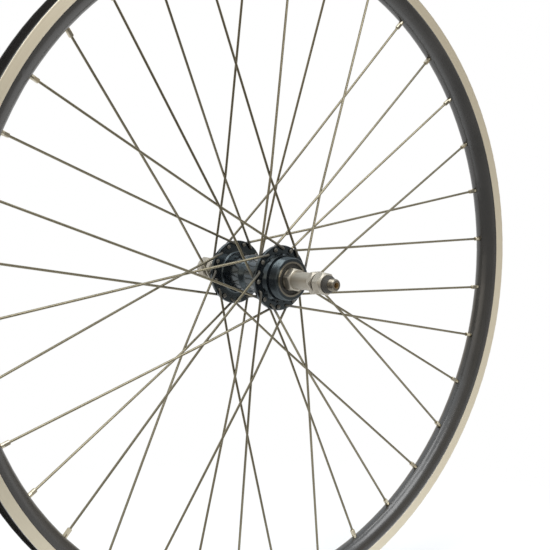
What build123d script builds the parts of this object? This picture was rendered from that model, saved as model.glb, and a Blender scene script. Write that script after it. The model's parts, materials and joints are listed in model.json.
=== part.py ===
from build123d import *
from math import cos, pi, radians, sin, sqrt, tan
import os

# A 26 inch bicycle rear wheel: a double-wall rim laced three-cross to a hub for a screw-on freewheel.
# Lengths are in millimetres and angles in degrees. The axle lies along Y, the drive side is -Y and
# +Z is up. The origin is the middle of the rim. Angles round the axle run clockwise from +X as seen
# from the drive side, and a side is -1 for the drive side and +1 for the far side.
DRIVE = -1
FAR = 1

# Rim
BEAD_SEAT_DIAMETER = 559.0
FLANGE_HEIGHT = 6.0
RIM_WIDTH = 20.0
RIM_DEPTH = 22.2
TRACK_HEIGHT = 9.1
TRACK_STEP = 0.6
BED_WALL = 1.6
SIDE_WALL = 1.4
BRIDGE_WALL = 1.3
BEAD_WALL = 1.2
HOOK_WALL = 1.6
HOOK_HEIGHT = 1.5
LIP_ROUND = 0.5
WELL_WIDTH = 10.0
WELL_DEPTH = 2.9
WELL_SLOPE = 1.4
ACCESS_HOLE_DIAMETER = 8.0
VALVE_HOLE_DIAMETER = 8.5
TAPE_THICKNESS = 0.8
TAPE_SIDE_GAP = 0.2

# Spokes and nipples
SPOKE_SETS = 9
CROSSINGS = 3
FIRST_NIPPLE_ANGLE = -33.45
VALVE_SET = 8
SPOKE_DIAMETER = 2.0
SPOKE_HOLE_CLEARANCE = 0.3
SPOKE_SEAT_GAP = 0.1
CROSSING_GAP = 0.1
ELBOW_RADIUS = 2.0
CROSSING_BEND_RADIUS = 40.0
SPOKE_HEAD_DIAMETER = 3.8
SPOKE_HEAD_HEIGHT = 1.6
SPOKE_THREAD_PAST_BED = 3.0
NIPPLE_STAGGER = 0.4
NIPPLE_WALL = 0.95
NIPPLE_HOLE_CLEARANCE = 0.2
NIPPLE_HEAD_DIAMETER = 6.0
NIPPLE_HEAD_CROWN = 1.0
NIPPLE_REACH = 7.1
NIPPLE_FLAT_LENGTH = 5.0
NIPPLE_FLAT_DEPTH = 0.35
NIPPLE_TIP_CHAMFER = 0.5

# Hub bearings
BALL_COUNT = 9
BALL_DIAMETER = 6.35
BALL_SPACING = 0.15
RACE_GAP = 0.1
RACE_ARC = 75.0
CUP_WALL = 1.5
CUP_BACK = 1.4
BALL_DEPTH = 5.9
CONE_NOSE = 2.5
CONE_SHOULDER_STEP = 0.35
CAP_WALL = 0.8
CAP_RECESS = 0.9
CAP_LIP = 1.4
CAP_GAP = 0.4

# Hub shell
DRIVE_FLANGE_OFFSET = 20.4
FAR_FLANGE_OFFSET = 35.9
FLANGE_THICKNESS = 3.0
FLANGE_ROUND = 0.6
THREAD_WALL = 3.1
THREAD_LENGTH = 8.0
THREAD_CHAMFER = 1.0
RELIEF_DEPTH = 0.8
RELIEF_WIDTH = 1.7
COLLAR_LENGTH = 4.6
COLLAR_LAND = 0.9
COLLAR_STEP = 3.0
COLLAR_ROUND = 2.0
SHOULDER_STEP = 1.2
HOLE_INSET = 3.0
HOLE_MARGIN = 3.0
FAR_BOSS_WALL = 2.7
FAR_BOSS_LENGTH = 5.6
BULGE_WALL = 1.7
FAR_BULGE_LENGTH = 21.4
DRIVE_BULGE_LENGTH = 6.0
BULGE_TAPER = 3.0
SHELL_FILLET = 2.0
CORE_DIAMETER = 19.0
BARREL_WALL = 3.5

# Axle and the pieces screwed onto it
AXLE_DIAMETER = 9.8
AXLE_CHAMFER = 0.9
CENTRE_HOLE_DIAMETER = 4.6
CENTRE_HOLE_DEPTH = 4.0
CONE_HEX = 17.0
CONE_PROUD = 6.4
CONE_HEX_TURN = -16.0
SPACER_WALL = 2.15
DRIVE_SPACER_LENGTH = 20.2
FAR_SPACER_LENGTH = 13.4
LOCKNUT_HEX = 17.0
LOCKNUT_THICKNESS = 4.7
LOCKNUT_HEX_TURN = -30.0
NUT_HEX = 17.0
NUT_THICKNESS = 9.2
NUT_NOSE_DIAMETER = 15.0
NUT_NOSE_LENGTH = 2.9
NUT_HEX_TURN = -16.0
DRIVE_NUT_GAP = 1.8
FAR_NUT_GAP = 4.3
HEX_CHAMFER = 0.7
HEX_CHAMFER_ANGLE = 30.0
KEEPER_DIAMETER = 13.8
KEEPER_TIP_DIAMETER = 10.4
KEEPER_LENGTH = 4.75
KEEPER_TAPER_LENGTH = 2.5
KEEPER_ROUND = 0.6
DRIVE_TAIL = 5.35
FAR_TAIL = 4.4

# Clearance of a screwed or pressed fit, on the radius
FIT_GAP = 0.05

# Rim radii and half widths
seat_radius = BEAD_SEAT_DIAMETER / 2
rim_radius = seat_radius + FLANGE_HEIGHT
bed_radius = rim_radius - RIM_DEPTH
well_radius = seat_radius - WELL_DEPTH
track_radius = rim_radius - TRACK_HEIGHT
rim_half = RIM_WIDTH / 2
well_half = WELL_WIDTH / 2
bowl_radius = track_radius - TRACK_STEP
bowl_half = rim_half - TRACK_STEP
cavity_depth = bowl_radius - bed_radius - BED_WALL
cavity_half = bowl_half - SIDE_WALL

# Bearing and hub radii, from the balls outwards
ball_radius = BALL_DIAMETER / 2
pitch_radius = (BALL_DIAMETER + BALL_SPACING) / 2 / sin(pi / BALL_COUNT)
race_radius = ball_radius + RACE_GAP
mouth_radius = pitch_radius + race_radius
cup_radius = mouth_radius + CUP_WALL
cup_seat_radius = cup_radius + FIT_GAP
cup_back = race_radius + CUP_BACK
core_radius = CORE_DIAMETER / 2
thread_radius = cup_seat_radius + THREAD_WALL
collar_radius = thread_radius + COLLAR_STEP
spoke_circle_radius = collar_radius + HOLE_INSET
hub_flange_radius = spoke_circle_radius + HOLE_MARGIN
bulge_radius = cup_seat_radius + BULGE_WALL
far_boss_radius = cup_seat_radius + FAR_BOSS_WALL
barrel_radius = core_radius + BARREL_WALL
shoulder_radius = pitch_radius - race_radius * cos(radians(RACE_ARC)) + CONE_SHOULDER_STEP
axle_radius = AXLE_DIAMETER / 2
axle_bore = axle_radius + FIT_GAP

# Distances from the middle of the rim along the axle, on each side
flange_offset = {DRIVE: DRIVE_FLANGE_OFFSET, FAR: FAR_FLANGE_OFFSET}
half_flange = FLANGE_THICKNESS / 2
shoulder_at = DRIVE_FLANGE_OFFSET + half_flange + COLLAR_LENGTH
thread_at = shoulder_at + RELIEF_WIDTH
shell_end = {DRIVE: thread_at + THREAD_LENGTH, FAR: FAR_FLANGE_OFFSET + half_flange + FAR_BOSS_LENGTH}
ball_plane = {side: shell_end[side] - BALL_DEPTH for side in (DRIVE, FAR)}
spacer_length = {DRIVE: DRIVE_SPACER_LENGTH, FAR: FAR_SPACER_LENGTH}
cone_end = {side: shell_end[side] + CONE_PROUD for side in (DRIVE, FAR)}
spacer_end = {side: cone_end[side] + spacer_length[side] for side in (DRIVE, FAR)}
locknut_end = {side: spacer_end[side] + LOCKNUT_THICKNESS for side in (DRIVE, FAR)}
nut_at = {DRIVE: locknut_end[DRIVE] + DRIVE_NUT_GAP, FAR: locknut_end[FAR] + FAR_NUT_GAP}
nut_end = {side: nut_at[side] + NUT_THICKNESS for side in (DRIVE, FAR)}
keeper_end = nut_end[DRIVE] + KEEPER_LENGTH
axle_end = {DRIVE: keeper_end + DRIVE_TAIL, FAR: nut_end[FAR] + FAR_TAIL}

# Lacing: one set is four neighbouring nipples. A spoke leans +1 towards larger angles on its way
# to the hub, and its elbow lies on the outside (+1) or the inside (-1) of its flange.
LACING = [
    {"side": FAR, "lean": 1, "face": -1},
    {"side": DRIVE, "lean": 1, "face": 1},
    {"side": FAR, "lean": -1, "face": 1},
    {"side": DRIVE, "lean": -1, "face": -1},
]
spoke_count = SPOKE_SETS * len(LACING)
nipple_step = 360 / spoke_count
hub_turn = 2 * CROSSINGS * nipple_step
spoke_radius = SPOKE_DIAMETER / 2
nipple_bore = spoke_radius + FIT_GAP
nipple_radius = nipple_bore + NIPPLE_WALL
nipple_hole_radius = nipple_radius + NIPPLE_HOLE_CLEARANCE
nipple_angles = [FIRST_NIPPLE_ANGLE + nipple_step * index for index in range(spoke_count)]
valve_angle = FIRST_NIPPLE_ANGLE + nipple_step * (len(LACING) * VALVE_SET - 0.5)


def polar(radius, angle, y):
    """Point at a radius and an angle round the axle."""
    return Vector(radius * cos(radians(angle)), y, -radius * sin(radians(angle)))


def turned(points, radii=0.0):
    """Solid of revolution about the axle from (radius, y) points with rounded corners."""
    return revolve(make_face(FilletPolyline(*points, radius=radii, close=True)), Axis.Y)


def along(start, direction):
    """Plane at a point whose Z axis points in a direction."""
    return Plane(origin=start, z_dir=direction)


def radial_hole(diameter, inner, outer, angle, y):
    """Cutter pointing away from the axle, between two radii."""
    plane = along(polar(inner, angle, y), polar(1, angle, 0))
    return plane * Cylinder(diameter / 2, outer - inner, align=(Align.CENTER, Align.CENTER, Align.MIN))


# Rim: a hollow section with an oval bowl and a hooked bead on each side, bent to a ring
def mirrored(half):
    """List of (radius, y, corner radius) from the half of a section with y above zero."""
    return half + [(radius, -y, corner) for radius, y, corner in reversed(half)]


def bowl_ring(depth, half, section):
    """Ring whose section is half an ellipse towards the axle, closed by points from its y > 0 end."""
    bowl = EllipticalCenterArc((bowl_radius, 0), depth, half, start_angle=90, arc_size=180)
    points = [(radius, y) for radius, y, corner in section]
    corners = [corner for radius, y, corner in section]
    crown = FilletPolyline((bowl_radius, half), *points, (bowl_radius, -half), radius=corners)
    return revolve(make_face([bowl, crown]), Axis.Y)


def make_rim(spokes):
    hook_end = rim_radius - HOOK_HEIGHT
    outline = mirrored([
        (track_radius, rim_half, 0),
        (rim_radius, rim_half, LIP_ROUND),
        (rim_radius, rim_half - HOOK_WALL, 0),
        (hook_end, rim_half - HOOK_WALL, 0),
        (hook_end - (HOOK_WALL - BEAD_WALL), rim_half - BEAD_WALL, 0),
        (seat_radius, rim_half - BEAD_WALL, 0),
        (seat_radius, well_half + WELL_SLOPE, 0),
        (well_radius, well_half, 0),
    ])
    roof = seat_radius - BRIDGE_WALL
    cavity = mirrored([
        (roof, cavity_half, 0),
        (roof, well_half + WELL_SLOPE, 0),
        (well_radius - BRIDGE_WALL, well_half, 0),
    ])
    cutters = [radial_hole(VALVE_HOLE_DIAMETER, bed_radius - 1, rim_radius, valve_angle, 0)]
    middle = (bed_radius + well_radius) / 2
    for angle, spoke in zip(nipple_angles, spokes):
        cutters.append(Rot(0, angle, 0) * spoke["rim_hole"])
        cutters.append(radial_hole(ACCESS_HOLE_DIAMETER, middle, rim_radius, angle, spoke["nipple_y"]))
    shell = bowl_ring(bowl_radius - bed_radius, bowl_half, outline)
    return shell - bowl_ring(cavity_depth, cavity_half, cavity) - cutters


def make_rim_tape():
    half = well_half - TAPE_SIDE_GAP
    inner = well_radius + FIT_GAP
    outer = inner + TAPE_THICKNESS
    band = turned([(inner, -half), (inner, half), (outer, half), (outer, -half)])
    return band - radial_hole(VALVE_HOLE_DIAMETER, bed_radius, rim_radius, valve_angle, 0)


# Spokes: a head, an elbow through the flange, and a slight bend where the spoke passes its partner
def spoke_points(side, lean, face):
    """Head seat, elbow, outer crossing and bed point of a spoke whose nipple is at angle zero."""
    bed = polar(bed_radius, 0, side * NIPPLE_STAGGER)
    hole = polar(spoke_circle_radius, lean * hub_turn, side * flange_offset[side])
    cross_radius = (bed_radius * spoke_circle_radius * sin(radians(hub_turn))
                    / (bed_radius * sin(radians(nipple_step))
                       + spoke_circle_radius * sin(radians(hub_turn - nipple_step))))
    run = Vector(bed.X - hole.X, 0, bed.Z - hole.Z)
    length = run.length
    ahead = run.normalized()
    crossing = polar(cross_radius, lean * nipple_step, 0)
    to_crossing = (crossing - Vector(hole.X, 0, hole.Z)).length
    # Height of the crossing over the middle of the rim: the outside spoke passes under its partner
    share = to_crossing / length
    mean = flange_offset[side] * (1 - share) + NIPPLE_STAGGER * share
    height = mean - face * (SPOKE_DIAMETER + CROSSING_GAP) / 2
    # Run from the hole to the edge of the flange, which a spoke on the outside has to clear
    inward = -(hole.X * ahead.X + hole.Z * ahead.Z)
    edge = inward + sqrt(inward ** 2 + hub_flange_radius ** 2 - spoke_circle_radius ** 2)
    seat = flange_offset[side] + face * (half_flange + spoke_radius)
    fall = max(0.0, face * (seat - height)) * edge / to_crossing
    lift = SPOKE_SEAT_GAP + fall / (1 - edge / to_crossing)
    elbow = Vector(hole.X, side * (seat + face * lift), hole.Z)
    head = Vector(hole.X, side * (flange_offset[side] - face * (half_flange + SPOKE_SEAT_GAP)), hole.Z)
    return head, elbow, Vector(crossing.X, side * height, crossing.Z), bed


def make_spoke_head():
    """Head along -Z from its seat, a cone under a domed crown."""
    edge = (SPOKE_HEAD_DIAMETER / 2, 0, -SPOKE_HEAD_HEIGHT / 2)
    crown = (0, 0, -SPOKE_HEAD_HEIGHT)
    cone = Polyline(crown, (0, 0, 0), (spoke_radius, 0, 0), edge)
    dome = TangentArc(crown, edge, tangent=(1, 0, 0))
    return revolve(make_face([cone, dome]), Axis.Z)


def make_nipple(tilt):
    """Nipple along +Z from the outside of the rim bed, its domed head at -Z inside the rim.

    The floor of the bowl rises at the sides of a hole, and a tilted hole has one side of its edge higher
    than the other. The head seats on the high side.
    """
    dome = NIPPLE_HEAD_DIAMETER / 2
    seat = sqrt(dome ** 2 - nipple_hole_radius ** 2)
    reach = (nipple_hole_radius + NIPPLE_STAGGER) / cavity_half
    rise = cavity_depth * (1 - sqrt(1 - reach ** 2)) + nipple_hole_radius * tan(radians(tilt))
    centre = -(BED_WALL / cos(radians(tilt)) + rise + seat + FIT_GAP)
    under = centre + sqrt(dome ** 2 - nipple_radius ** 2)
    top = centre - NIPPLE_HEAD_CROWN
    crown = sqrt(dome ** 2 - NIPPLE_HEAD_CROWN ** 2)
    outline = [
        Line((nipple_bore, 0, top), (crown, 0, top)),
        ThreePointArc((crown, 0, top), (dome, 0, centre), (nipple_radius, 0, under)),
        Polyline((nipple_radius, 0, under),
                 (nipple_radius, 0, NIPPLE_REACH - NIPPLE_TIP_CHAMFER),
                 (nipple_radius - NIPPLE_TIP_CHAMFER, 0, NIPPLE_REACH),
                 (nipple_bore, 0, NIPPLE_REACH),
                 (nipple_bore, 0, top)),
    ]
    body = revolve(make_face(outline), Axis.Z)
    across = 2 * (nipple_radius - NIPPLE_FLAT_DEPTH)
    block = Pos(0, 0, NIPPLE_REACH) * Box(4 * nipple_radius, 4 * nipple_radius, 2 * NIPPLE_FLAT_LENGTH)
    core = Pos(0, 0, NIPPLE_REACH) * Box(across, across, 2 * NIPPLE_FLAT_LENGTH)
    return body - (block - core)


def make_laced_spoke(side, lean, face):
    """A spoke, its nipple, its rim hole and its flange hole, for a nipple at angle zero."""
    head, elbow, crossing, bed = spoke_points(side, lean, face)
    outward = (bed - crossing).normalized()
    end = bed + outward * SPOKE_THREAD_PAST_BED
    path = FilletPolyline(head, elbow, crossing, end, radius=[ELBOW_RADIUS, CROSSING_BEND_RADIUS])
    shank = along(head, elbow - head)
    wire = sweep(shank * Circle(spoke_radius), path=path)
    seat = along(bed, -outward)
    tilt = outward.get_angle(Vector(bed.X, 0, bed.Z))
    hole_length = 2 * BED_WALL + SPOKE_DIAMETER
    rim_hole = seat * Pos(0, 0, -BED_WALL / 2) * Cylinder(nipple_hole_radius, hole_length)
    flange_hole = Pos(head.X, side * flange_offset[side], head.Z) * Rot(90, 0, 0) * Cylinder(
        spoke_radius + SPOKE_HOLE_CLEARANCE, 2 * FLANGE_THICKNESS)
    return {
        "spoke": wire + shank * make_spoke_head(),
        "nipple": seat * make_nipple(tilt),
        "rim_hole": rim_hole,
        "flange_hole": flange_hole,
        "nipple_y": bed.Y,
    }


# Hub shell: two drilled flanges on a barrel, with a seat for a bearing cup at each end
def make_hub_shell(spokes):
    far_face = FAR_FLANGE_OFFSET + half_flange
    far_back = FAR_FLANGE_OFFSET - half_flange
    drive_face = -(DRIVE_FLANGE_OFFSET + half_flange)
    drive_back = -(DRIVE_FLANGE_OFFSET - half_flange)
    far_step = far_back - FAR_BULGE_LENGTH
    drive_step = drive_back + DRIVE_BULGE_LENGTH
    relief_radius = thread_radius - RELIEF_DEPTH
    seat_depth = BALL_DEPTH + cup_back
    corners = [
        (cup_seat_radius, shell_end[FAR], 0),
        (far_boss_radius, shell_end[FAR], FLANGE_ROUND),
        (far_boss_radius, far_face, FLANGE_ROUND),
        (hub_flange_radius, far_face, FLANGE_ROUND),
        (hub_flange_radius, far_back, FLANGE_ROUND),
        (bulge_radius, far_back, SHELL_FILLET),
        (bulge_radius, far_step, SHELL_FILLET),
        (barrel_radius, far_step - BULGE_TAPER, SHELL_FILLET),
        (barrel_radius, drive_step + BULGE_TAPER, SHELL_FILLET),
        (bulge_radius, drive_step, SHELL_FILLET),
        (bulge_radius, drive_back, SHELL_FILLET),
        (hub_flange_radius, drive_back, FLANGE_ROUND),
        (hub_flange_radius, drive_face, FLANGE_ROUND),
        (collar_radius, drive_face, 0),
        (collar_radius, drive_face - COLLAR_LAND, COLLAR_ROUND),
        (thread_radius + SHOULDER_STEP, -shoulder_at, 0),
        (relief_radius, -shoulder_at, 0),
        (relief_radius, -thread_at + RELIEF_DEPTH, 0),
        (thread_radius, -thread_at, 0),
        (thread_radius, -shell_end[DRIVE] + THREAD_CHAMFER, 0),
        (thread_radius - THREAD_CHAMFER, -shell_end[DRIVE], 0),
        (cup_seat_radius, -shell_end[DRIVE], 0),
        (cup_seat_radius, seat_depth - shell_end[DRIVE], 0),
        (core_radius, seat_depth - shell_end[DRIVE], 0),
        (core_radius, shell_end[FAR] - seat_depth, 0),
        (cup_seat_radius, shell_end[FAR] - seat_depth, 0),
    ]
    points = [(radius, y) for radius, y, corner in corners]
    shell = turned(points, [corner for radius, y, corner in corners])
    return shell - [Rot(0, angle, 0) * spoke["flange_hole"] for angle, spoke in zip(nipple_angles, spokes)]


# Bearings: a cup in each end of the shell, nine loose balls and a dust cap
def bearing_point(side, radius, outward):
    """Section point at a distance outwards from the plane of the ball centres."""
    return Vector(radius, side * (ball_plane[side] + outward))


def race_arc(side, sense):
    """Arc of a race round a ball: the cup's with sense +1, the cone's with sense -1."""
    def at(angle):
        reach = radians(angle)
        return bearing_point(side, pitch_radius + sense * race_radius * cos(reach), -sense * race_radius * sin(reach))
    return ThreePointArc(at(0), at(RACE_ARC / 2), at(RACE_ARC))


def make_cup(side):
    race = race_arc(side, 1)
    lip = Polyline(
        race @ 1,
        bearing_point(side, (race @ 1).X, -cup_back),
        bearing_point(side, cup_radius, -cup_back),
        bearing_point(side, cup_radius, BALL_DEPTH),
        bearing_point(side, mouth_radius, BALL_DEPTH),
        race @ 0,
    )
    return revolve(make_face([race, lip]), Axis.Y)


def make_balls(side):
    ball = Pos(pitch_radius, side * ball_plane[side], 0) * Sphere(ball_radius)
    return Compound(children=[Rot(0, 360 * index / BALL_COUNT, 0) * ball for index in range(BALL_COUNT)])


def make_dust_cap(side):
    hole = shoulder_radius + CAP_GAP
    outer = mouth_radius - FIT_GAP
    front = BALL_DEPTH - CAP_RECESS
    points = [
        (hole, front - CAP_LIP),
        (hole, front - CAP_LIP + CAP_WALL),
        (outer - CAP_WALL, front - CAP_LIP + CAP_WALL),
        (outer - CAP_WALL, front),
        (outer, front),
        (outer, front - CAP_LIP),
    ]
    return turned([bearing_point(side, radius, outward) for radius, outward in points])


# Axle, cones, spacers and nuts
def chamfered(across):
    """Radius of a chamfered end face of a hexagon, and how far the chamfer reaches along its corners."""
    radius = across / 2 - HEX_CHAMFER
    return radius, (across / sqrt(3) - radius) * tan(radians(HEX_CHAMFER_ANGLE))


def hexagon(side, across, turn, start, length, outer, inner=None):
    """Hexagonal prism round the axle, its corners turned down at the outer end and perhaps the inner one."""
    corner = across / sqrt(3)
    prism = extrude(Plane.XZ * RegularPolygon(corner, 6, rotation=90), -length)
    base = [(inner[0], 0), (corner, inner[1])] if inner else [(corner, 0)]
    points = [(0, 0), *base, (corner, length - outer[1]), (outer[0], length), (0, length)]
    block = Rot(0, turn, 0) * (prism & turned(points))
    return Pos(0, start, 0) * block if side == FAR else Pos(0, -start, 0) * mirror(block, Plane.XZ)


def axle_hole(radius, side, start, end):
    """Bore round the axle between two distances from the middle of the rim."""
    return turned([(0, side * start), (radius, side * start), (radius, side * end), (0, side * end)])


def make_cone(side):
    race = race_arc(side, -1)
    waist = pitch_radius - race_radius
    body = Polyline(
        race @ 1,
        bearing_point(side, shoulder_radius, side * (race @ 1).Y - ball_plane[side]),
        bearing_point(side, shoulder_radius, BALL_DEPTH),
        bearing_point(side, axle_bore, BALL_DEPTH),
        bearing_point(side, axle_bore, -CONE_NOSE),
        bearing_point(side, waist, -CONE_NOSE),
        race @ 0,
    )
    wrench = hexagon(side, CONE_HEX, CONE_HEX_TURN, shell_end[side], CONE_PROUD, chamfered(CONE_HEX))
    nose = revolve(make_face([race, body]), Axis.Y)
    return nose + (wrench - axle_hole(axle_bore, side, 0, axle_end[side]))


def make_spacer(side):
    start = side * cone_end[side]
    end = side * spacer_end[side]
    outer = axle_bore + SPACER_WALL
    return turned([(axle_bore, start), (outer, start), (outer, end), (axle_bore, end)])


def make_locknut(side):
    ends = chamfered(LOCKNUT_HEX)
    block = hexagon(side, LOCKNUT_HEX, LOCKNUT_HEX_TURN, spacer_end[side], LOCKNUT_THICKNESS, ends, ends)
    return block - axle_hole(axle_bore, side, 0, axle_end[side])


def make_axle_nut(side):
    nose = (NUT_NOSE_DIAMETER / 2, NUT_NOSE_LENGTH)
    block = hexagon(side, NUT_HEX, NUT_HEX_TURN, nut_at[side], NUT_THICKNESS, nose, chamfered(NUT_HEX))
    return block - axle_hole(axle_bore, side, 0, axle_end[side])


def make_keeper_ring():
    """Ring behind the drive-side nut, tapered towards the end of the axle."""
    outer = KEEPER_DIAMETER / 2
    return turned([
        (axle_bore, -nut_end[DRIVE]),
        (outer, -nut_end[DRIVE]),
        (outer, KEEPER_TAPER_LENGTH - keeper_end),
        (KEEPER_TIP_DIAMETER / 2, -keeper_end),
        (axle_bore, -keeper_end),
    ], [0, 0, KEEPER_ROUND, 0, 0])


def make_axle():
    bar = turned([
        (0, -axle_end[DRIVE]),
        (axle_radius - AXLE_CHAMFER, -axle_end[DRIVE]),
        (axle_radius, -axle_end[DRIVE] + AXLE_CHAMFER),
        (axle_radius, axle_end[FAR] - AXLE_CHAMFER),
        (axle_radius - AXLE_CHAMFER, axle_end[FAR]),
        (0, axle_end[FAR]),
    ])
    tip = CENTRE_HOLE_DIAMETER / 2
    for side in (DRIVE, FAR):
        end = side * axle_end[side]
        depth = end - side * CENTRE_HOLE_DEPTH
        bar -= turned([(0, end), (tip, end), (tip, depth), (0, depth - side * tip)])
    return bar


def build():
    """All pieces of the wheel by name."""
    families = [make_laced_spoke(**spoke) for spoke in LACING]
    spokes = [families[index % len(LACING)] for index in range(spoke_count)]
    parts = {
        "rim": make_rim(spokes),
        "rim_tape": make_rim_tape(),
        "hub_shell": make_hub_shell(spokes),
        "axle": make_axle(),
        "keeper_ring": make_keeper_ring(),
    }
    for name, side in (("drive", DRIVE), ("far", FAR)):
        parts[name + "_cup"] = make_cup(side)
        parts[name + "_balls"] = make_balls(side)
        parts[name + "_dust_cap"] = make_dust_cap(side)
        parts[name + "_cone"] = make_cone(side)
        parts[name + "_spacer"] = make_spacer(side)
        parts[name + "_locknut"] = make_locknut(side)
        parts[name + "_axle_nut"] = make_axle_nut(side)
    nipples = []
    for index, angle in enumerate(nipple_angles):
        turn = Rot(0, angle, 0)
        parts[f"spoke_{index + 1:02d}"] = turn * spokes[index]["spoke"]
        nipples.append(turn * spokes[index]["nipple"])
    parts["nipples"] = Compound(children=nipples)
    return parts


os.makedirs("parts", exist_ok=True)
for name, shape in build().items():
    export_step(shape, f"parts/{name}.step")
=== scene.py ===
# %% [markdown]
# A bicycle rear wheel, dressed for the studio.
# The solids of the wheel come ready made, at their real size, in metres: the axle lies along Y, the drive
# side is -Y, +Z is up and the origin is the middle of the rim.
# This lesson gives each piece the surface that its material and its making leave on it, cuts the screw
# threads that the solids leave out, and sets up the light and the camera.

# %% Load the wheel
import json
from math import cos, pi, radians, sin

import bpy
import numpy as np
from mathutils import Euler, Matrix, Vector


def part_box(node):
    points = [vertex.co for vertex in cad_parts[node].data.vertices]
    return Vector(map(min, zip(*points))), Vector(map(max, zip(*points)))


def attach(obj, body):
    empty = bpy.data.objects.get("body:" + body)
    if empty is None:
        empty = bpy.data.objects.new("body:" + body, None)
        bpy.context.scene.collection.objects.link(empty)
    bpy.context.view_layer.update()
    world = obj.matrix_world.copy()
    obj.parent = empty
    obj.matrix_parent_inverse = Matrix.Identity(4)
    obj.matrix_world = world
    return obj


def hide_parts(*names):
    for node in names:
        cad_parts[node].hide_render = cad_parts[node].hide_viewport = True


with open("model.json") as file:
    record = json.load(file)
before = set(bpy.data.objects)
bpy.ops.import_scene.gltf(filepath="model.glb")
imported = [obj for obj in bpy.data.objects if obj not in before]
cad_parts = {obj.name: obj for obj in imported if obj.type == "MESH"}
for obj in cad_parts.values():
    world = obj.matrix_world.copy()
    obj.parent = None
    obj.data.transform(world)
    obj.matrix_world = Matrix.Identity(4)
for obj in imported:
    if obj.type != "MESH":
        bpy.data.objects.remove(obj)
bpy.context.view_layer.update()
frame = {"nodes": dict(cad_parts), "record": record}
MM = 0.001  # m

# %% [markdown]
# Colours are written as the hex values that a colour picker shows. Blender's shaders work in linear light,
# so one function turns such a value into linear numbers, along the curve of the sRGB standard.
# Every material below is a small graph of nodes. One helper adds a node, sets its properties, and fills or
# links its inputs, so that a graph reads from top to bottom like a recipe. Inputs go by name or by number. A
# Mix node has its factor at 0, two numbers to mix at 2 and 3, two colours at 6 and 7, and the mixed colour at
# its output 2.

# %% Colour and node helpers
def linear(hex_colour):
    """Linear RGBA from an sRGB hex value."""
    parts = [int(hex_colour[place:place + 2], 16) / 255 for place in (1, 3, 5)]
    levels = [part / 12.92 if part <= 0.04045 else ((part + 0.055) / 1.055) ** 2.4 for part in parts]
    return (*levels, 1.0)


def fill(tree, node, inputs):
    """Fills a node's inputs. Each gets a plain value or a link from another node's output."""
    for key, value in inputs.items() if isinstance(inputs, dict) else enumerate(inputs):
        if isinstance(value, bpy.types.NodeSocket):
            tree.links.new(value, node.inputs[key])
        else:
            node.inputs[key].default_value = value


def add(tree, kind, inputs=(), output=0, **settings):
    """Adds a node with its settings and inputs, and gives one of its outputs."""
    node = tree.nodes.new(kind)
    for name, value in settings.items():
        setattr(node, name, value)
    fill(tree, node, inputs)
    return node.outputs[output] if node.outputs else node


def new_finish(name):
    """An empty material with its node tree and its shader, ready for a recipe."""
    material = bpy.data.materials.new(name)
    material.use_nodes = True
    return material, material.node_tree, material.node_tree.nodes["Principled BSDF"]


print("helpers ready, middle grey is", round(linear("#808080")[0], 3), "in linear light")

# %% [markdown]
# Almost every mark on a wheel runs round its axle: the die lines of the rim, the lathe marks on the hub and
# the nuts. So the recipes need to know where a point lies and how far it is from the axle, in millimetres.
# A UV map could say the same, but the solids have none. Object coordinates need no unwrapping, and they turn
# with the piece, so the marks turn with the wheel. They are in metres.

# %% Where a point lies on the wheel
def wheel_place(tree):
    """The place of a point on the wheel, in millimetres."""
    metres = add(tree, "ShaderNodeTexCoord", output="Object")
    return add(tree, "ShaderNodeVectorMath", {0: metres, "Scale": 1 / MM}, operation="SCALE")


def axle_distance(tree, place):
    """How far a place is from the axle, in millimetres."""
    across = add(tree, "ShaderNodeVectorMath", [place, (1, 0, 1)], operation="MULTIPLY")
    return add(tree, "ShaderNodeVectorMath", [across], "Value", operation="LENGTH")


print("marks are placed by distance from the axle and along it")

# %% [markdown]
# The rim is an aluminium section, pressed through a die, bent to a ring and dyed black by anodising. The dyed
# film is aluminium oxide, which reflects like a dark glaze with an IOR of 1.76, and the etched surface under
# it makes the gloss soft: face on it is nearly black, and it glows where it curves out of sight. The brake
# tracks are then turned clean, which leaves bare silver metal with fine rings round the axle.
# One material holds both finishes, because the rim is one piece: the tracks are masked by their place, which
# is exact where a painted mask would not be.

# %% Rim finish: satin black anodised aluminium with turned brake tracks
FILM_IOR = 1.76
FILM_DARK = "#282725"
FILM_PALE = "#312f2c"
FILM_ROUGHNESS = (0.20, 0.26)
TRACK_DARK = "#d8ceb6"
TRACK_PALE = "#e6deca"
TRACK_ROUGHNESS = (0.40, 0.52)
TRACK_START = 276.25  # mm from the axle, just inside the edge of the turned faces
TRACK_SIDE = 9.75  # mm from the rim's middle plane, just inside the turned faces
MASK_EDGE = 0.1  # mm, over which one finish goes over to the other
TURNED_RING_SPACING = 0.5  # mm; the real rings are about 0.15 mm apart, too fine to show
DIE_LINE_SPACING = 0.8  # mm
DYE_CLOUD_SIZE = 35.0  # mm
RIM_MARK_DEPTH = 0.03  # mm
RIM_MARK_STRENGTH = 0.25
SEAM_ANGLE = 101.55  # degrees, opposite the valve hole
SEAM_WIDTH = 0.12  # mm
SEAM_BLACK = "#0a0a0a"
NOISE_RANGE = (0.3, 0.7)  # most values of a noise texture lie between these


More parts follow.
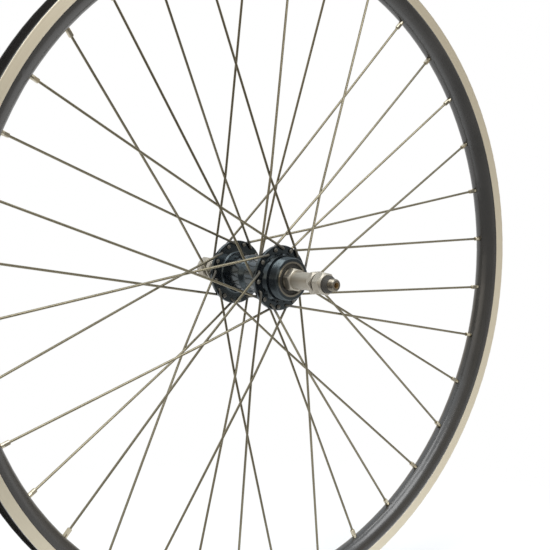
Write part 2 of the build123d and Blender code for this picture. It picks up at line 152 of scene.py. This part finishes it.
def make_rim_finish():
    """Black film with silver tracks, the marks of die and lathe, and the joint of the ring."""
    material, tree, shader = new_finish("anodised_aluminium_satin_black_rim")
    place = wheel_place(tree)
    radius = axle_distance(tree, place)
    along = add(tree, "ShaderNodeSeparateXYZ", [place], "Y")
    side = add(tree, "ShaderNodeMath", [along], operation="ABSOLUTE")
    beyond = add(tree, "ShaderNodeMapRange", [radius, TRACK_START, TRACK_START + MASK_EDGE])
    outside = add(tree, "ShaderNodeMapRange", [side, TRACK_SIDE, TRACK_SIDE + MASK_EDGE])
    track = add(tree, "ShaderNodeMath", [beyond, outside], operation="MULTIPLY")
    # Turned rings on the tracks, die lines along the rest, cloudy patches from the dye bath
    rings = add(tree, "ShaderNodeTexNoise", {"W": radius, "Scale": 1 / TURNED_RING_SPACING},
                noise_dimensions="1D")
    section = add(tree, "ShaderNodeCombineXYZ", [radius, along])
    die_lines = add(tree, "ShaderNodeTexNoise", {"Vector": section, "Scale": 1 / DIE_LINE_SPACING},
                    noise_dimensions="2D")
    clouds = add(tree, "ShaderNodeTexNoise", {"Vector": place, "Scale": 1 / DYE_CLOUD_SIZE})
    # The two ends of the bent section meet in a hairline joint
    turn = radians(SEAM_ANGLE)
    over_joint = (-sin(turn), 0, -cos(turn))
    to_joint = (cos(turn), 0, -sin(turn))
    across = add(tree, "ShaderNodeVectorMath", [place, over_joint], "Value", operation="DOT_PRODUCT")
    outward = add(tree, "ShaderNodeVectorMath", [place, to_joint], "Value", operation="DOT_PRODUCT")
    off_line = add(tree, "ShaderNodeMath", [across], operation="ABSOLUTE")
    on_line = add(tree, "ShaderNodeMapRange", [off_line, SEAM_WIDTH, SEAM_WIDTH / 2])
    this_end = add(tree, "ShaderNodeMath", [outward, 0.0], operation="GREATER_THAN")
    seam = add(tree, "ShaderNodeMath", [on_line, this_end], operation="MULTIPLY")
    # Both finishes, and the joint over them
    black = add(tree, "ShaderNodeMix", {0: clouds, 6: linear(FILM_DARK), 7: linear(FILM_PALE)}, 2,
                data_type="RGBA")
    silver = add(tree, "ShaderNodeMix", {0: rings, 6: linear(TRACK_DARK), 7: linear(TRACK_PALE)}, 2,
                 data_type="RGBA")
    colour = add(tree, "ShaderNodeMix", {0: track, 6: black, 7: silver}, 2, data_type="RGBA")
    colour = add(tree, "ShaderNodeMix", {0: seam, 6: colour, 7: linear(SEAM_BLACK)}, 2, data_type="RGBA")
    film_gloss = add(tree, "ShaderNodeMapRange", [clouds, *NOISE_RANGE, *FILM_ROUGHNESS])
    track_gloss = add(tree, "ShaderNodeMapRange", [rings, *NOISE_RANGE, *TRACK_ROUGHNESS])
    gloss = add(tree, "ShaderNodeMix", {0: track, 2: film_gloss, 3: track_gloss})
    marks = add(tree, "ShaderNodeMix", {0: track, 2: die_lines, 3: rings})
    cut = add(tree, "ShaderNodeMath", [marks, seam], operation="SUBTRACT")
    bump = add(tree, "ShaderNodeBump",
               {"Height": cut, "Strength": RIM_MARK_STRENGTH, "Distance": RIM_MARK_DEPTH * MM})
    fill(tree, shader, {"Base Color": colour, "Metallic": track, "Roughness": gloss, "IOR": FILM_IOR,
                        "Normal": bump})
    return material


finishes = {"black_rim": make_rim_finish()}
print("made", finishes["black_rim"].name)

# %% [markdown]
# The hub shell is turned from aluminium, polished and dyed black in the same kind of bath. Polishing leaves
# it glossy, so it shows the white floor and the ceiling as sharp pale bands, a little blue from the dye, and
# the lathe leaves fine rings that stretch those bands. The rings follow the distance from the axle on a flat
# face and the place along it on a barrel. Two noises with a mask would draw that, but one noise of the sum of
# both serves faces and barrels alike.

# %% Hub finish: polished black anodised aluminium
HUB_DARK = "#0e1012"
HUB_PALE = "#121417"
HUB_ROUGHNESS = (0.12, 0.16)
DYE_TINT = "#e2f4fa"
POLISH_CLOUD_SIZE = 6.0  # mm
HUB_RING_SPACING = 0.6  # mm; the real rings are about 0.1 mm apart, too fine to show
LATHE_MARK_DEPTH = 0.02  # mm
LATHE_MARK_STRENGTH = 0.15


def lathe_marks(tree, place, spacing):
    """Fine rings round the axle, on faces and barrels alike."""
    along = add(tree, "ShaderNodeSeparateXYZ", [place], "Y")
    run = add(tree, "ShaderNodeMath", [axle_distance(tree, place), along], operation="ADD")
    rings = add(tree, "ShaderNodeTexNoise", {"W": run, "Scale": 1 / spacing}, noise_dimensions="1D")
    return add(tree, "ShaderNodeBump",
               {"Height": rings, "Strength": LATHE_MARK_STRENGTH, "Distance": LATHE_MARK_DEPTH * MM})


def make_hub_finish():
    """Glossy black film with faint clouds from polishing, over lathe marks."""
    material, tree, shader = new_finish("anodised_aluminium_polished_black_hub")
    place = wheel_place(tree)
    clouds = add(tree, "ShaderNodeTexNoise", {"Vector": place, "Scale": 1 / POLISH_CLOUD_SIZE})
    colour = add(tree, "ShaderNodeMix", {0: clouds, 6: linear(HUB_DARK), 7: linear(HUB_PALE)}, 2,
                 data_type="RGBA")
    gloss = add(tree, "ShaderNodeMapRange", [clouds, *NOISE_RANGE, *HUB_ROUGHNESS])
    rings = lathe_marks(tree, place, HUB_RING_SPACING)
    fill(tree, shader, {"Base Color": colour, "Roughness": gloss, "IOR": FILM_IOR,
                        "Specular Tint": linear(DYE_TINT), "Normal": rings})
    return material


finishes["black_hub"] = make_hub_finish()
print("made", finishes["black_hub"].name)

# %% [markdown]
# Spokes are stainless wire, drawn through a die and left as drawn: a grey metal with a soft sheen. Nipples
# are brass with a thin nickel plate, paler and glossier, and slightly warm where the brass shows through.
# Both are bare metals, so all their colour is in the reflection and the IOR stays as it is. Only the heads
# and the elbows are painted a dull, opaque dark grey: a painted shade for the dark room that they mirror.
# The bare metals of the wheel differ in colour, gloss and the size of their patches, so one recipe with these
# as its arguments makes them all.

# %% Spoke and nipple finishes: drawn stainless wire and nickel plated brass
# Painted shade: the spoke heads and elbows get this dull dark grey for the dark room that they mirror
FORMED_END_PAINTED_SHADE = "#4a473f"
FORMED_END_RADIUS = 27.0  # mm from the axle, round the heads and elbows
UNSHADED_WIRE_RADIUS = 32.0  # mm


def make_metal_finish(name, dark, pale, smooth, rough, patch, ring_spacing=None):
    """A bare metal whose colour and gloss drift in patches, with lathe rings where it was turned."""
    material, tree, shader = new_finish(name)
    place = wheel_place(tree)
    patches = add(tree, "ShaderNodeTexNoise", {"Vector": place, "Scale": 1 / patch})
    even = add(tree, "ShaderNodeMapRange", [patches, *NOISE_RANGE])
    colour = add(tree, "ShaderNodeMix", {0: even, 6: linear(dark), 7: linear(pale)}, 2, data_type="RGBA")
    gloss = add(tree, "ShaderNodeMapRange", [patches, *NOISE_RANGE, rough, smooth])
    fill(tree, shader, {"Base Color": colour, "Metallic": 1.0, "Roughness": gloss})
    if ring_spacing:
        fill(tree, shader, {"Normal": lathe_marks(tree, place, ring_spacing)})
    return material


def stain_and_shade_near_axle(material, hex_colour, covered_radius, uncovered_radius):
    """Opaque colour over a metal near the axle: painted shade on spoke heads, old oil on axle ends."""
    tree = material.node_tree
    shader = tree.nodes["Principled BSDF"]
    radius = axle_distance(tree, wheel_place(tree))
    mask = add(tree, "ShaderNodeMapRange", [radius, uncovered_radius, covered_radius])
    metal = shader.inputs["Base Color"].links[0].from_socket
    colour = add(tree, "ShaderNodeMix", {0: mask, 6: metal, 7: linear(hex_colour)}, 2, data_type="RGBA")
    bare = add(tree, "ShaderNodeMath", [1.0, mask], operation="SUBTRACT")
    fill(tree, shader, {"Base Color": colour, "Metallic": bare})


finishes["stainless"] = make_metal_finish(
    "stainless_steel_drawn_wire", "#7e7764", "#8a836f", smooth=0.28, rough=0.34, patch=20.0)
# Painted shade on the heads and elbows, in place of the dark room that their faces mirror
stain_and_shade_near_axle(finishes["stainless"], FORMED_END_PAINTED_SHADE, FORMED_END_RADIUS, UNSHADED_WIRE_RADIUS)
finishes["nickel_brass"] = make_metal_finish(
    "brass_nickel_plated", "#b8ae96", "#c4bca8", smooth=0.14, rough=0.22, patch=6.0)
print("made", finishes["stainless"].name, "and", finishes["nickel_brass"].name)

# %% [markdown]
# The cones, spacers and nuts are turned steel with a zinc plate, which is a pale warm grey with a satin
# sheen. The bearing cups and balls are hardened, ground and greased, so they are darker and glossier. The
# axle is oiled steel, and the centre hole that the lathe left in each end has gone brown with old oil, which
# hides the metal under it. The recipe for bare metals makes these too, with lathe rings added.

# %% Steel finishes: zinc plate, ground bearing steel and an oiled axle
STEEL_RING_SPACING = 0.5  # mm; the real rings are about 0.1 mm apart, too fine to show
OLD_OIL = "#8a7048"
CENTRE_HOLE_RADIUS = 2.3  # mm
finishes["axle_steel"] = make_metal_finish(
    "steel_oiled_axle", "#7e786c", "#8b8579",
    smooth=0.22, rough=0.30, patch=8.0, ring_spacing=STEEL_RING_SPACING)
stain_and_shade_near_axle(finishes["axle_steel"], OLD_OIL, CENTRE_HOLE_RADIUS, CENTRE_HOLE_RADIUS + MASK_EDGE)
finishes["plated_steel"] = make_metal_finish(
    "steel_zinc_plated_turned", "#aca699", "#b6b0a4",
    smooth=0.42, rough=0.50, patch=10.0, ring_spacing=STEEL_RING_SPACING)
finishes["bearing_steel"] = make_metal_finish(
    "bearing_steel_ground_greased", "#8f897c", "#9b9588",
    smooth=0.14, rough=0.20, patch=6.0, ring_spacing=STEEL_RING_SPACING)
print("made", ", ".join(finishes[slot].name for slot in ("plated_steel", "bearing_steel", "axle_steel")))

# %% [markdown]
# The dust caps are moulded plastic, the ring on the axle's end and the rim tape are moulded rubber. Moulding
# copies the fine grain of the mould. Displacing the mesh would take many faces for a grain so fine, so each
# has a small noise for a bump and a gloss that drifts with it.

# %% Moulded finishes: plastic dust caps, rubber ring and rim tape
GRAIN_DEPTH = 0.04  # mm
GRAIN_STRENGTH = 0.3


def make_moulded_finish(name, dark, pale, smooth, rough, grain):
    """Plastic or rubber with the grain of its mould."""
    material, tree, shader = new_finish(name)
    grains = add(tree, "ShaderNodeTexNoise", {"Vector": wheel_place(tree), "Scale": 1 / grain})
    colour = add(tree, "ShaderNodeMix", {0: grains, 6: linear(dark), 7: linear(pale)}, 2, data_type="RGBA")
    gloss = add(tree, "ShaderNodeMapRange", [grains, *NOISE_RANGE, smooth, rough])
    bump = add(tree, "ShaderNodeBump",
               {"Height": grains, "Strength": GRAIN_STRENGTH, "Distance": GRAIN_DEPTH * MM})
    fill(tree, shader, {"Base Color": colour, "Roughness": gloss, "Normal": bump})
    return material


finishes["seal_plastic"] = make_moulded_finish(
    "plastic_moulded_black", "#24231f", "#302e29", smooth=0.4, rough=0.6, grain=0.5)
finishes["ring_rubber"] = make_moulded_finish(
    "rubber_moulded_grey_black", "#2d2a25", "#3a3730", smooth=0.55, rough=0.70, grain=0.8)
finishes["tape_rubber"] = make_moulded_finish(
    "rubber_strip_black", "#1b1b1a", "#262524", smooth=0.55, rough=0.75, grain=1.0)
print("made", ", ".join(finishes[slot].name for slot in ("seal_plastic", "ring_rubber", "tape_rubber")))

# %% [markdown]
# Each solid carries the name of its material slot, and the slot names the finish. A solid's shape is never
# touched here: it only gets its surface.

# %% Each solid takes the finish of its slot
for part in frame["record"]["subparts"]:
    solid = frame["nodes"][part["node"]]
    solid.data.materials.clear()
    solid.data.materials.append(finishes[part["material_slot"]])

# %% [markdown]
# Three screw threads show on the wheel: the wide fine one that a freewheel screws onto, and one on each end
# of the axle. A Screw modifier could sweep a ridge round the axle, but it would stop short at both ends,
# where a real thread fades out. A thread is a rule: going round once moves the ridge along by one pitch. So a
# Geometry Nodes tree makes it from a flat grid. Across the grid runs the turn, up the grid runs the axle, and
# Set Position rolls the grid into a tube whose radius rises and falls with the ridge.
# A real thread is cut on a bar whose ends were chamfered first. The rule does the same: a 45 degree cone at
# each end limits the radius, and the ridges fade into it.

# %% Screw thread rule
FLAT_SHARE = 0.15  # share of a pitch that is flat at the crest, and as much again at the root
HALF_PITCH = 0.5  # a ridge rises for half a pitch and falls for the other half
HALF_GRID = 0.5  # the grid is 1 wide and 1 high round its middle
SEAM_WELD = 0.001  # mm, for the edges of the grid that meet when it is rolled up


def make_thread_rule():
    """Geometry Nodes tree for a right-handed thread round Y, out of named sizes in millimetres."""
    tree = bpy.data.node_groups.new("screw_thread", "GeometryNodeTree")
    for name in ("Root Radius", "Depth", "Pitch", "Start", "End", "Start Radius", "End Radius"):
        tree.interface.new_socket(name, in_out="INPUT", socket_type="NodeSocketFloat")
    for name in ("Columns", "Rows"):
        tree.interface.new_socket(name, in_out="INPUT", socket_type="NodeSocketInt")
    tree.interface.new_socket("Material", in_out="INPUT", socket_type="NodeSocketMaterial")
    tree.interface.new_socket("Geometry", in_out="OUTPUT", socket_type="NodeSocketGeometry")
    size = tree.nodes.new("NodeGroupInput").outputs
    grid = add(tree, "GeometryNodeMeshGrid", [2 * HALF_GRID, 2 * HALF_GRID, size["Columns"], size["Rows"]])
    spot = add(tree, "GeometryNodeInputPosition")
    grid_x = add(tree, "ShaderNodeSeparateXYZ", [spot], "X")
    grid_y = add(tree, "ShaderNodeSeparateXYZ", [spot], "Y")
    turn = add(tree, "ShaderNodeMath", [grid_x, HALF_GRID], operation="ADD")
    share = add(tree, "ShaderNodeMath", [grid_y, HALF_GRID], operation="ADD")
    length = add(tree, "ShaderNodeMath", [size["End"], size["Start"]], operation="SUBTRACT")
    from_start = add(tree, "ShaderNodeMath", [share, length], operation="MULTIPLY")
    to_end = add(tree, "ShaderNodeMath", [length, from_start], operation="SUBTRACT")
    # Height of the ridge, 0 at the root and 1 at the crest
    pitches = add(tree, "ShaderNodeMath", [from_start, size["Pitch"]], operation="DIVIDE")
    ahead = add(tree, "ShaderNodeMath", [pitches, turn], operation="SUBTRACT")
    slope = add(tree, "ShaderNodeMath", [ahead, HALF_PITCH], operation="PINGPONG")
    ridge = add(tree, "ShaderNodeMapRange", [slope, FLAT_SHARE / 2, HALF_PITCH - FLAT_SHARE / 2])
    ridged = add(tree, "ShaderNodeMath", [ridge, size["Depth"], size["Root Radius"]],
                 operation="MULTIPLY_ADD")
    start_cone = add(tree, "ShaderNodeMath", [size["Start Radius"], from_start], operation="ADD")
    end_cone = add(tree, "ShaderNodeMath", [size["End Radius"], to_end], operation="ADD")
    cones = add(tree, "ShaderNodeMath", [start_cone, end_cone], operation="MINIMUM")
    radius = add(tree, "ShaderNodeMath", [ridged, cones], operation="MINIMUM")
    # Roll the grid up round Y and bring it to metres
    angle = add(tree, "ShaderNodeMath", [turn, -2 * pi], operation="MULTIPLY")
    x_share = add(tree, "ShaderNodeMath", [angle], operation="COSINE")
    z_share = add(tree, "ShaderNodeMath", [angle], operation="SINE")
    x = add(tree, "ShaderNodeMath", [radius, x_share], operation="MULTIPLY")
    z = add(tree, "ShaderNodeMath", [radius, z_share], operation="MULTIPLY")
    y = add(tree, "ShaderNodeMath", [size["Start"], from_start], operation="ADD")
    rolled = add(tree, "ShaderNodeCombineXYZ", [x, y, z])
    metres = add(tree, "ShaderNodeVectorMath", {0: rolled, "Scale": MM}, operation="SCALE")
    tube = add(tree, "GeometryNodeSetPosition", {"Geometry": grid, "Position": metres})
    closed = add(tree, "GeometryNodeMergeByDistance", {"Geometry": tube, "Distance": SEAM_WELD * MM})
    smooth = add(tree, "GeometryNodeSetShadeSmooth", {"Geometry": closed})
    real = add(tree, "GeometryNodeRealizeInstances", {"Geometry": smooth})
    dressed = add(tree, "GeometryNodeSetMaterial", {"Geometry": real, "Material": size["Material"]})
    add(tree, "NodeGroupOutput", {"Geometry": dressed})
    return tree


thread_rule = make_thread_rule()
print("thread rule with", len(thread_rule.nodes), "nodes")

# %% [markdown]
# The tree runs as a modifier on an empty mesh. Its result is kept as a plain mesh, because a modifier that
# still works would be lost when the wheel is used elsewhere. Edges sharper than 35 degrees stay crisp, so the
# ridges don't melt into one soft wave.

# %% Cut a thread
ROWS_PER_PITCH = 10
CRISP_ANGLE = 35.0  # degrees


def cut_thread(name, sizes, columns, material):
    """A plain mesh object with a thread of the given sizes."""
    rows = round((sizes["End"] - sizes["Start"]) / sizes["Pitch"] * ROWS_PER_PITCH)
    values = {**sizes, "Columns": columns + 1, "Rows": rows + 1, "Material": material}
    piece = bpy.data.objects.new(name, bpy.data.meshes.new(name))
    bpy.context.collection.objects.link(piece)
    modifier = piece.modifiers.new("thread", "NODES")
    modifier.node_group = thread_rule
    for socket in thread_rule.interface.items_tree:
        if socket.in_out == "INPUT":
            modifier[socket.identifier] = values[socket.name]
    result = piece.evaluated_get(bpy.context.evaluated_depsgraph_get())
    mesh = bpy.data.meshes.new_from_object(result)
    piece.modifiers.clear()
    piece.data = mesh
    mesh.set_sharp_from_angle(angle=radians(CRISP_ANGLE))
    outward = sum(face.normal.x * face.center.x + face.normal.z * face.center.z for face in mesh.polygons)
    print(name, "has", len(mesh.polygons), "faces", "pointing out" if outward > 0 else "pointing in")
    return piece


print("threads get", ROWS_PER_PITCH, "rows of faces to a pitch")

# %% [markdown]
# The solids are plain bars where the threads are, as wide as the crests, so they would hide the roots. A
# Boolean could cut room for them, but it needs a closed mesh, and the solids are loose triangles. So each of
# the two is copied, its triangles are joined at their corners, and the corners on the thread's outer width
# are drawn in to lie under the roots. The solid's own normals come along, so the copy shades as smoothly as
# the solid.

# %% Copy a solid with room for its thread
DIGITS = 3  # decimals of a millimetre that places of the solids are read to
CREST_PLAY = 0.01  # mm by which a corner may miss the crest's radius


def waisted_copy(name, node, crest_radius, waist_radius):
    """A merged copy of a solid, drawn in wherever it is as wide as the crest of its thread."""
    solid = frame["nodes"][node].data
    places = np.empty(len(solid.vertices) * 3)
    solid.vertices.foreach_get("co", places)
    normals = np.empty(len(solid.loops) * 3)
    solid.corner_normals.foreach_get("vector", normals)
    corners = np.empty(len(solid.loops), dtype=int)
    solid.loops.foreach_get("vertex_index", corners)
    keys = np.round(places.reshape(-1, 3) / MM, DIGITS)
    merged, joined = np.unique(keys, axis=0, return_inverse=True)
    faces = joined.reshape(-1)[corners].reshape(-1, 3)
    whole = (faces != np.roll(faces, 1, axis=1)).all(axis=1)
    radius = np.hypot(merged[:, 0], merged[:, 2])
    wide = np.abs(radius - crest_radius) < CREST_PLAY
    inward = waist_radius / radius[wide]
    merged[wide, 0] *= inward
    merged[wide, 2] *= inward
    mesh = bpy.data.meshes.new(name)
    mesh.from_pydata((merged * MM).tolist(), [], faces[whole].tolist(), shade_flat=False)
    mesh.normals_split_custom_set(normals.reshape(-1, 3, 3)[whole].reshape(-1, 3).tolist())
    mesh.materials.append(solid.materials[0])
    piece = bpy.data.objects.new(name, mesh)
    bpy.context.collection.objects.link(piece)
    print(name, "drawn in at", wide.sum(), "of", len(merged), "corners")
    return piece


mount_sizes = {mount["name"]: mount["dims"] for mount in frame["record"]["mounts"]}
print("the bars are", mount_sizes["freewheel_thread"]["r_mm"], "and", mount_sizes["axle"]["r_mm"],
      "mm in radius")

# %% [markdown]
# The freewheel thread has 24 turns to the inch on a boss 34.85 mm wide. It starts in the chamfer at the
# boss's end and runs out into the groove behind it. The thread and the shell under it turn with the wheel.

# %% Freewheel thread and its hub shell
INCH = 25.4  # mm
TURNS_PER_INCH = 24
FREEWHEEL_CREST = mount_sizes["freewheel_thread"]["r_mm"]
FREEWHEEL_DEPTH = 0.65  # mm
BOSS_LENGTH = 8.0  # mm
BOSS_CHAMFER = 1.0  # mm
GROOVE_DEPTH = 0.8  # mm
SHELL_WAIST = 16.4  # mm, just under the lowest turn of the thread
FREEWHEEL_COLUMNS = 96
boss_end = round(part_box("hub_shell")[0].y / MM, DIGITS)
freewheel_sizes = {
    "Root Radius": FREEWHEEL_CREST - FREEWHEEL_DEPTH, "Depth": FREEWHEEL_DEPTH,
    "Pitch": INCH / TURNS_PER_INCH,
    "Start": boss_end, "End": boss_end + BOSS_LENGTH + GROOVE_DEPTH,
    "Start Radius": FREEWHEEL_CREST - BOSS_CHAMFER, "End Radius": FREEWHEEL_CREST - GROOVE_DEPTH,
}
hub_shell = waisted_copy("waisted_hub_shell", "hub_shell", FREEWHEEL_CREST, SHELL_WAIST)
freewheel_thread = cut_thread("freewheel_thread", freewheel_sizes, FREEWHEEL_COLUMNS, finishes["black_hub"])
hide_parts("hub_shell")
for piece in (hub_shell, freewheel_thread):
    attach(piece, "wheel")

# %% [markdown]
# The axle's threads have a pitch of 1 mm. Each runs from the chamfered end to past the cone, which it
# adjusts, and the bar under and between them is a little thinner than the roots.

# %% Axle threads and their axle
AXLE_CREST = mount_sizes["axle"]["r_mm"]
AXLE_DEPTH = 0.6  # mm
AXLE_PITCH = 1.0  # mm
AXLE_CHAMFER = 0.9  # mm
AXLE_UNDERCUT = 0.05  # mm, from the lowest turn of the thread to the bar
THREAD_STOP = 32.0  # mm from the middle of the wheel
AXLE_COLUMNS = 40
drive_end, far_end = (round(corner.y / MM, DIGITS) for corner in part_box("axle"))
axle_tip = AXLE_CREST - AXLE_CHAMFER
drive_sizes = {
    "Root Radius": AXLE_CREST - AXLE_DEPTH, "Depth": AXLE_DEPTH, "Pitch": AXLE_PITCH,
    "Start": drive_end, "End": -THREAD_STOP, "Start Radius": axle_tip, "End Radius": axle_tip,
}
far_sizes = {**drive_sizes, "Start": THREAD_STOP, "End": far_end}
axle = waisted_copy("waisted_axle", "axle", AXLE_CREST, axle_tip - AXLE_UNDERCUT)
drive_thread = cut_thread("drive_axle_thread", drive_sizes, AXLE_COLUMNS, finishes["axle_steel"])
far_thread = cut_thread("far_axle_thread", far_sizes, AXLE_COLUMNS, finishes["axle_steel"])
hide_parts("axle")
for piece in (axle, drive_thread, far_thread):
    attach(piece, "axle_set")

# %% [markdown]
# The floor is a sheet of white paper under the wheel. Close to the wheel it is ordinary paper, which takes
# the wheel's shadow. Further out it fades to an even white, for the camera and for metal and glass, which
# mirror it. The paper ends in front of the wheel, so what faces the camera mirrors a dimmer floor.

# %% Paper floor
PAPER_WHITE = "#efefef"
PAPER_ROUGHNESS = 0.9
FLOOR_WIDTH = 40.0  # m
PLAIN_REACH = 0.15  # m from the middle, up to which it is ordinary paper
EVEN_REACH = 0.5  # m from the middle, where it is an even white
BEHIND = (0.64, 0.77, 0.0)  # away from the camera, along the floor
DIM_FLOOR = 0.2
DIM_DEPTH = -0.6  # m that way from the middle, where the mirrored floor is dim
WHITE_DEPTH = 0.1  # m that way, where it is white
wheel_radius = round(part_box("rim")[1].x / MM, DIGITS) * MM
bpy.ops.mesh.primitive_plane_add(size=FLOOR_WIDTH, location=(0, 0, -wheel_radius))
floor = bpy.context.object
floor.name = "paper_floor"
material, tree, shader = new_finish("paper_matt_white")
fill(tree, shader, {"Base Color": linear(PAPER_WHITE), "Roughness": PAPER_ROUGHNESS})
spot = add(tree, "ShaderNodeTexCoord", output="Object")
distance = add(tree, "ShaderNodeVectorMath", [spot], "Value", operation="LENGTH")
far = add(tree, "ShaderNodeMapRange", [distance, PLAIN_REACH, EVEN_REACH])
depth = add(tree, "ShaderNodeVectorMath", [spot, BEHIND], "Value", operation="DOT_PRODUCT")
paper_end = add(tree, "ShaderNodeMapRange", [depth, DIM_DEPTH, WHITE_DEPTH, DIM_FLOOR, 1.0])
direct = add(tree, "ShaderNodeLightPath", output="Is Camera Ray")
glossy = add(tree, "ShaderNodeLightPath", output="Is Glossy Ray")
through = add(tree, "ShaderNodeLightPath", output="Is Transmission Ray")
mirrored = add(tree, "ShaderNodeMath", [glossy, through], operation="MAXIMUM")
seen = add(tree, "ShaderNodeMath", [direct, mirrored], operation="MAXIMUM")
fade = add(tree, "ShaderNodeMath", [far, seen], operation="MULTIPLY")
strength = add(tree, "ShaderNodeMix", {0: direct, 2: paper_end, 3: 1.0})
white = add(tree, "ShaderNodeEmission", {"Color": (1, 1, 1, 1), "Strength": strength})
paper = add(tree, "ShaderNodeMixShader", [fade, shader.outputs[0], white])
fill(tree, tree.nodes["Material Output"], {"Surface": paper})
floor.data.materials.append(material)
print("floor", wheel_radius, "m under the axle")

# %% [markdown]
# The room decides what the black and the bright pieces mirror. The ceiling, the sheet behind the wheel and a
# window on the left are bright, a pale wall at the front right is about half as bright, and the rest is dim,
# so that round pieces keep a dark middle. Large lamps could stand for these, but areas of the world can fade
# out softly at their edges. Daylight comes from above, so the ceiling is a little blue and the dim room a
# little warm. The camera itself sees plain white.

# %% Studio room
ROOM_LEVEL = 0.2
ROOM_TINT = "#fff6e8"
CEILING_TINT = "#f3f9ff"
CEILING_RISE = (0.2, 0.6)  # upward share of a direction, at the ceiling's edge and where it is full
# The way to each bright area, the cosine from it at the area's edge and where it is full, and its level
BRIGHT_AREAS = {
    "sheet": ((0.25, 0.95, 0.2), 0.25, 0.85, 0.85),
    "wall": ((0.64, -0.76, 0.1), 0.5, 0.95, 0.27),
    "window": ((-0.93, -0.36, -0.05), 0.65, 0.95, 0.9),
}
world = bpy.data.worlds.new("studio_room")
bpy.context.scene.world = world
world.use_nodes = True
tree = world.node_tree
way = add(tree, "ShaderNodeTexCoord", output="Generated")
upward = add(tree, "ShaderNodeSeparateXYZ", [way], "Z")
ceiling = add(tree, "ShaderNodeMapRange", [upward, *CEILING_RISE])
bright = ceiling
for area, (area_way, edge, full, area_level) in BRIGHT_AREAS.items():
    facing = add(tree, "ShaderNodeVectorMath", [way, area_way], "Value", operation="DOT_PRODUCT")
    shine = add(tree, "ShaderNodeMapRange", [facing, edge, full, 0.0, area_level])
    bright = add(tree, "ShaderNodeMath", [bright, shine], operation="MAXIMUM")
    print("the", area, "has a level of", round(area_level + ROOM_LEVEL, 2))
light = add(tree, "ShaderNodeMath", [bright, ROOM_LEVEL], operation="ADD")
direct = add(tree, "ShaderNodeLightPath", output="Is Camera Ray")
level = add(tree, "ShaderNodeMix", {0: direct, 2: light, 3: 1.0})
tint = add(tree, "ShaderNodeMix", {0: ceiling, 6: linear(ROOM_TINT), 7: linear(CEILING_TINT)}, 2,
           data_type="RGBA")
colour = add(tree, "ShaderNodeMix", {0: direct, 6: tint, 7: (1, 1, 1, 1)}, 2, data_type="RGBA")
fill(tree, tree.nodes["Background"], {"Strength": level, "Color": colour})

# %% [markdown]
# Two softboxes light the wheel, as wide as the shadows should be soft. One hangs above it, a little to the
# left, and gives the shadow on the paper and the small white glints on the hub. A weaker one hangs above the
# camera and lights what faces it, such as the front flanks of the freewheel thread.

# %% Softboxes
def hang_softbox(name, place, width, power):
    """A square lamp that shines on the middle of the wheel."""
    lamp = bpy.data.lights.new(name, "AREA")
    lamp.size = width
    lamp.energy = power
    softbox = bpy.data.objects.new(name, lamp)
    bpy.context.collection.objects.link(softbox)
    softbox.location = place
    softbox.rotation_euler = (-Vector(place)).to_track_quat("-Z", "Y").to_euler()
    print(name, "gives", power, "W")


hang_softbox("lamp_overhead", (-0.3, -0.25, 1.2), width=0.9, power=7.0)
hang_softbox("lamp_front", (0.15, -1.05, 0.8), width=0.6, power=4.0)

# %% [markdown]
# The camera stands in front of the drive side, 40 degrees round to the left and a little above the axle, so
# that the hub shows its length and the rim its depth. Its place comes from the wheel itself: the nipples lie
# on a known circle, and only one place and lens put that circle where the picture has it.

# %% Camera
SENSOR_WIDTH = 36.0  # mm
LENS = 86.79  # mm
ROUND_TO_LEFT = 39.7352  # degrees from the drive side
ABOVE_LEVEL = 6.50783  # degrees
DISTANCE = 1.08583  # m
TO_RIGHT = 0.00953  # m, so that the axle lies a little left of the picture's middle
UPWARDS = 0.00037  # m
camera = bpy.data.cameras.new("photo_camera")
camera.sensor_width = SENSOR_WIDTH
camera.lens = LENS
tripod = bpy.data.objects.new("photo_camera", camera)
bpy.context.collection.objects.link(tripod)
aim = Euler((radians(90 - ABOVE_LEVEL), 0, radians(-ROUND_TO_LEFT)))
tripod.matrix_world = aim.to_matrix().to_4x4() @ Matrix.Translation((TO_RIGHT, UPWARDS, DISTANCE))
bpy.context.scene.camera = tripod
print("camera", round(tripod.matrix_world.translation.length, 3), "m from the middle of the wheel")

# %% [markdown]
# Last, the plain view settings. The threads lie inside the bars that they were cut from, so the wheel is
# exactly as large as its solids.

# %% View settings
bpy.context.scene.view_settings.view_transform = "Standard"
